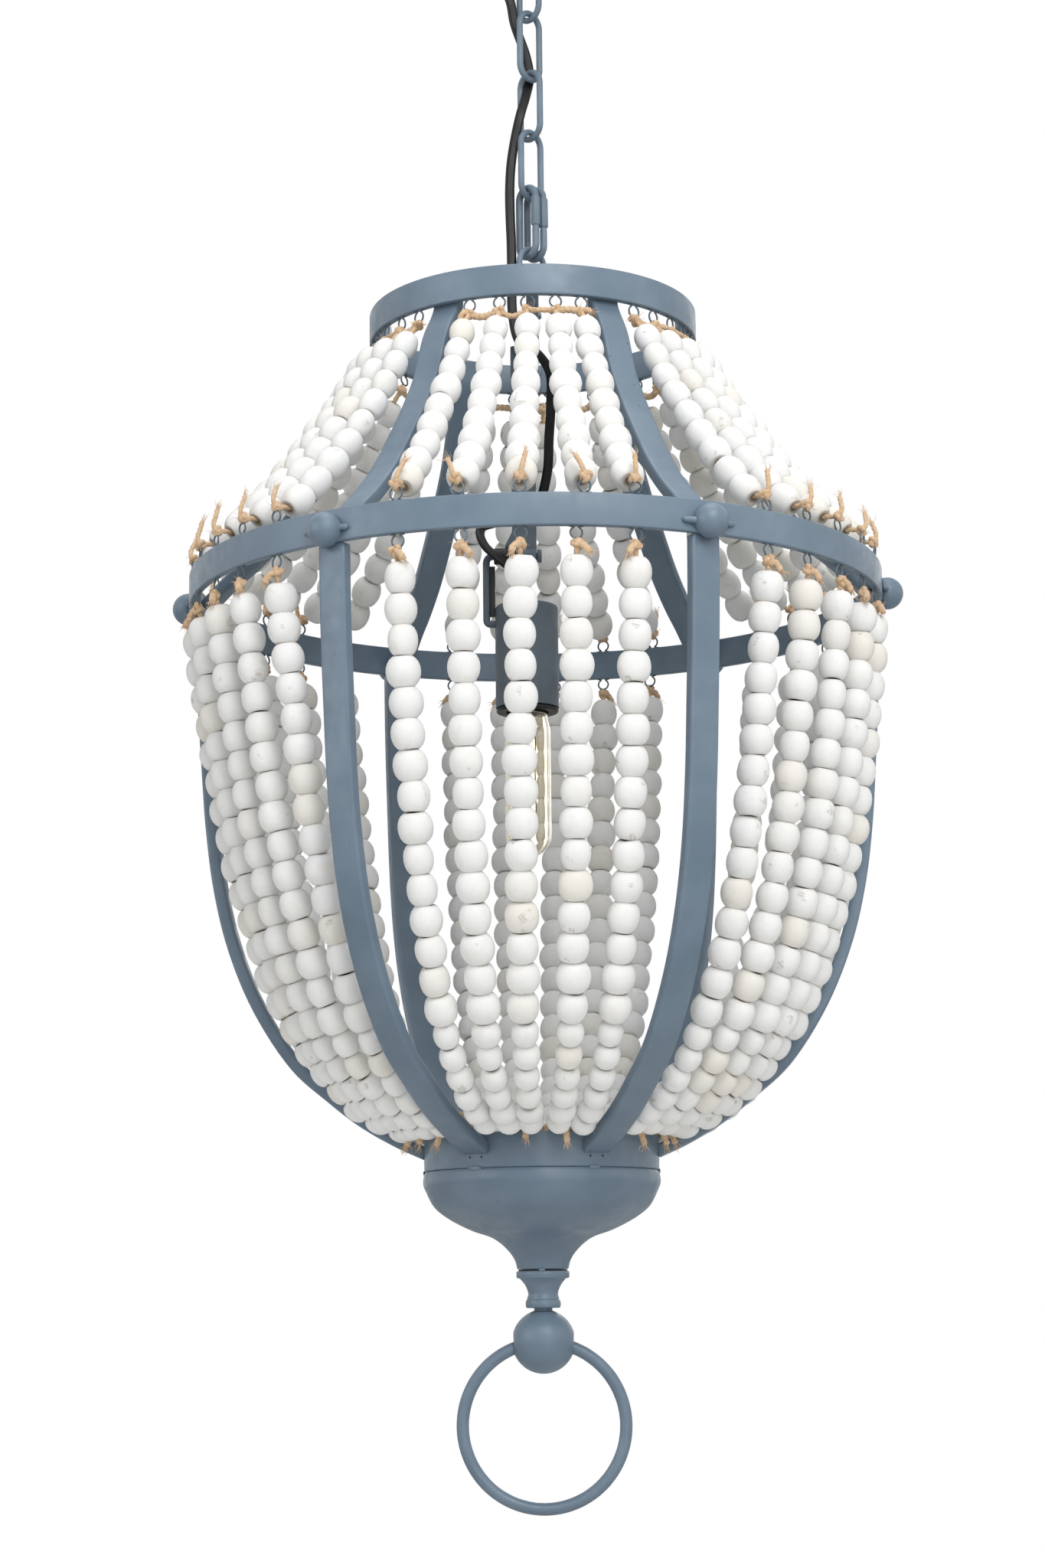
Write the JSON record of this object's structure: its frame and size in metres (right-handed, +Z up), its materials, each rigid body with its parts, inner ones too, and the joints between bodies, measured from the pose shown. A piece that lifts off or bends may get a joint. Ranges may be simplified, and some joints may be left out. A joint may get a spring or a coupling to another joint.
{
  "type": "beaded chandelier",
  "caption": "Pendant chandelier: a steel basket of ribs and hoops strung with wooden beads, hung on a short chain, with one lamp inside and a ring under its bowl.",
  "frame": {"origin": "centre of the ceiling bracket's top face, in the plane of the ceiling", "axes": "+Z up; +X to the right and -Y towards the viewer in the picture"},
  "size_m": [0.477, 0.4562, 1.0914],
  "materials": {
    "frame_paint": "satin blue-grey paint over steel, a little chalky, with thin edges and runs",
    "chain_paint": "satin blue-grey paint over welded wire",
    "lamp_paint": "satin dark grey paint",
    "black_plastic": "black moulded plastic",
    "cord_sheath": "black flat twin cord",
    "beads": "whitewashed turned wood, chalky, strung on jute twine",
    "bulb_glass": "clear glass with a faint amber tint",
    "bare_steel": "zinc-plated steel",
    "filament": "warm filament on a glass stem"
  },
  "bodies": {
    "ceiling": {"mounting_bracket": "bare_steel", "canopy": "frame_paint", "canopy_gland": "black_plastic", "ceiling_hook": "frame_paint"},
    "chain_1": {"chain_link_1": "chain_paint"},
    "chain_2": {"chain_link_2": "chain_paint"},
    "chain_3": {"chain_link_3": "chain_paint"},
    "chain_4": {"chain_link_4": "chain_paint"},
    "quick_links": {"quick_link_front": "chain_paint", "quick_link_back": "chain_paint"},
    "sleeve_front": {"quick_sleeve_front": "chain_paint"},
    "sleeve_back": {"quick_sleeve_back": "chain_paint"},
    "frame": {"eye_bolt": "frame_paint", "crossbar": "frame_paint", "top_ring": "frame_paint", "waist_ring": "frame_paint", "bowl_collar": "frame_paint", "upper_rib_1": "frame_paint", "upper_rib_2": "frame_paint", "upper_rib_3": "frame_paint", "upper_rib_4": "frame_paint", "upper_rib_5": "frame_paint", "upper_rib_6": "frame_paint", "lower_rib_1": "frame_paint", "lower_rib_2": "frame_paint", "lower_rib_3": "frame_paint", "lower_rib_4": "frame_paint", "lower_rib_5": "frame_paint", "lower_rib_6": "frame_paint", "waist_knob_1": "frame_paint", "waist_knob_2": "frame_paint", "waist_knob_3": "frame_paint", "waist_knob_4": "frame_paint", "waist_knob_5": "frame_paint", "waist_knob_6": "frame_paint", "upper_strands_1": "beads", "upper_strands_2": "beads", "upper_strands_3": "beads", "upper_strands_4": "beads", "upper_strands_5": "beads", "upper_strands_6": "beads", "lower_strands_1": "beads", "lower_strands_2": "beads", "lower_strands_3": "beads", "lower_strands_4": "beads", "lower_strands_5": "beads", "lower_strands_6": "beads", "bowl": "frame_paint", "spool": "frame_paint", "finial_ball": "frame_paint", "hanger_bar": "frame_paint", "power_cord": "cord_sheath"},
    "lamp": {"lamp_bail": "lamp_paint", "bail_bush": "black_plastic", "lamp_holder": "lamp_paint", "socket_insert": "black_plastic"},
    "bulb": {"bulb_cap": "bare_steel", "bulb_glass": "bulb_glass", "bulb_filament": "filament"},
    "finial_loop": {"finial_ring": "frame_paint"}
  },
  "joints": [
    {"name": "chain_1_swing", "type": "hinge", "parent": "ceiling", "child": "chain_1", "pos_m": [0, 0, -0.0653], "axis": [0.7071, 0.7071, 0], "range_deg": [-15, 15], "deforming": ["power_cord"]},
    {"name": "chain_2_swing", "type": "hinge", "parent": "chain_1", "child": "chain_2", "pos_m": [0, 0, -0.1072], "axis": [0.7071, -0.7071, 0], "range_deg": [-15, 15]},
    {"name": "chain_3_swing", "type": "hinge", "parent": "chain_2", "child": "chain_3", "pos_m": [0, 0, -0.1495], "axis": [0.7071, 0.7071, 0], "range_deg": [-15, 15]},
    {"name": "chain_4_swing", "type": "hinge", "parent": "chain_3", "child": "chain_4", "pos_m": [0, 0, -0.1918], "axis": [0.7071, -0.7071, 0], "range_deg": [-15, 15]},
    {"name": "quick_links_swing", "type": "hinge", "parent": "chain_4", "child": "quick_links", "pos_m": [0, 0, -0.2341], "axis": [0.7071, 0.7071, 0], "range_deg": [-15, 15]},
    {"name": "frame_swing", "type": "hinge", "parent": "quick_links", "child": "frame", "pos_m": [0, 0, -0.26949], "axis": [0.7071, 0.7071, 0], "range_deg": [-15, 15]},
    {"name": "sleeve_front_unscrew", "type": "slide", "parent": "quick_links", "child": "sleeve_front", "axis": [0, 0, -1], "range_m": [0, 0.011]},
    {"name": "sleeve_back_unscrew", "type": "slide", "parent": "quick_links", "child": "sleeve_back", "axis": [0, 0, -1], "range_m": [0, 0.011]},
    {"name": "lamp_swing", "type": "hinge", "parent": "frame", "child": "lamp", "pos_m": [-0.0055, 0, -0.47916], "axis": [1, 0, 0], "range_deg": [-12, 12]},
    {"name": "bulb_turn", "type": "hinge", "parent": "lamp", "child": "bulb", "pos_m": [-0.006, 0, -0.58666], "axis": [0, 0, -1], "range_deg": [0, 1080]},
    {"name": "finial_ring_swing", "type": "hinge", "parent": "frame", "child": "finial_loop", "pos_m": [0, 0, -0.98466], "axis": [1, 0, 0], "range_deg": [-20, 20]}
  ]
}
